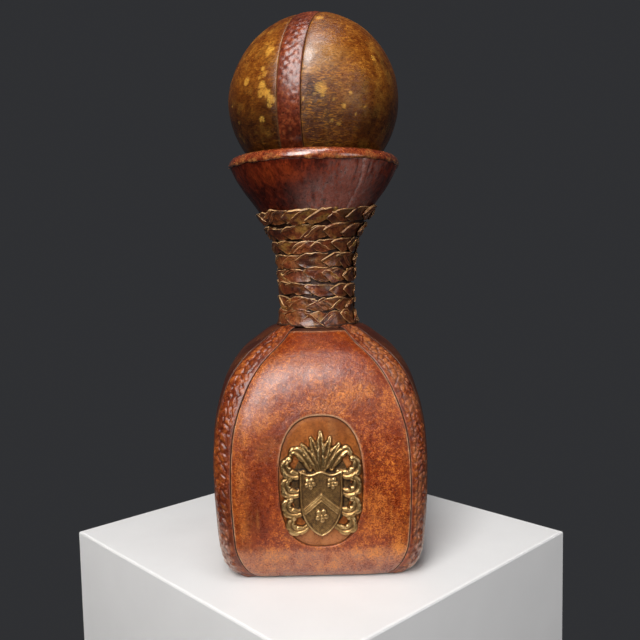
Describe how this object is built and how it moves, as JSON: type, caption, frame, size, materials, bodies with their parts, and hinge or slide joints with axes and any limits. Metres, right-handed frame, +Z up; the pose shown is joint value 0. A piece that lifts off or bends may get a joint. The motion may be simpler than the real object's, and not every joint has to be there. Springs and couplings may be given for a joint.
{
  "type": "leather-wrapped decanter",
  "caption": "Square glass decanter wrapped in tooled leather panels, with a plaited neck, a funnel mouth, a brass badge and a leather ball stopper on a cork.",
  "frame": {"origin": "on the floor under the middle of the base pad", "axes": "+Z up, along the bottle's neck; -Y is the front with the badge; +X to the right as seen from the front"},
  "size_m": [0.1152, 0.1171, 0.3048],
  "materials": {
    "red_leather": "waxed, semi-gloss, mottled wear",
    "tooled_leather": "embossed, waxed",
    "tan_leather": "smooth, satin",
    "dark_leather": "matt",
    "funnel_leather": "waxed, scuffed",
    "rim_leather": "worn, semi-gloss",
    "plait_leather": "glazed, light cut edges",
    "ball_leather": "mottled, satin",
    "brass": "antiqued, dark in the recesses",
    "glass": "moulded bottle glass",
    "cork": "natural cork",
    "wood": "turned, unfinished"
  },
  "bodies": {
    "bottle": {"front_panel": "red_leather", "back_panel": "red_leather", "left_panel": "red_leather", "right_panel": "red_leather", "corner_strip_front_left": "tooled_leather", "corner_strip_front_right": "tooled_leather", "corner_strip_back_left": "tooled_leather", "corner_strip_back_right": "tooled_leather", "base_pad": "dark_leather", "badge_inlay": "tan_leather", "badge": "brass", "glass_bottle": "glass", "neck_sleeve": "dark_leather", "funnel_cover": "funnel_leather", "rim_binding": "rim_leather", "mouth_lining": "dark_leather", "neck_plait_1": "plait_leather", "neck_plait_2": "plait_leather", "neck_plait_3": "plait_leather", "neck_plait_4": "plait_leather", "neck_plait_5": "plait_leather", "neck_plait_6": "plait_leather", "neck_plait_7": "plait_leather", "neck_plait_8": "plait_leather"},
    "stopper_cork": {"cork_plug": "cork"},
    "stopper_ball": {"ball_core": "wood", "ball_dowel": "wood", "ball_cover_left": "ball_leather", "ball_cover_right": "ball_leather", "ball_strip": "tooled_leather"}
  },
  "joints": [
    {"name": "stopper_lift", "type": "slide", "parent": "bottle", "child": "stopper_cork", "axis": [0, 0, 1], "range_m": [0, 0.085]},
    {"name": "stopper_turn", "type": "hinge", "parent": "stopper_cork", "child": "stopper_ball", "pos_m": [0, 0, 0.2563], "axis": [0, 0, 1], "continuous": true}
  ]
}
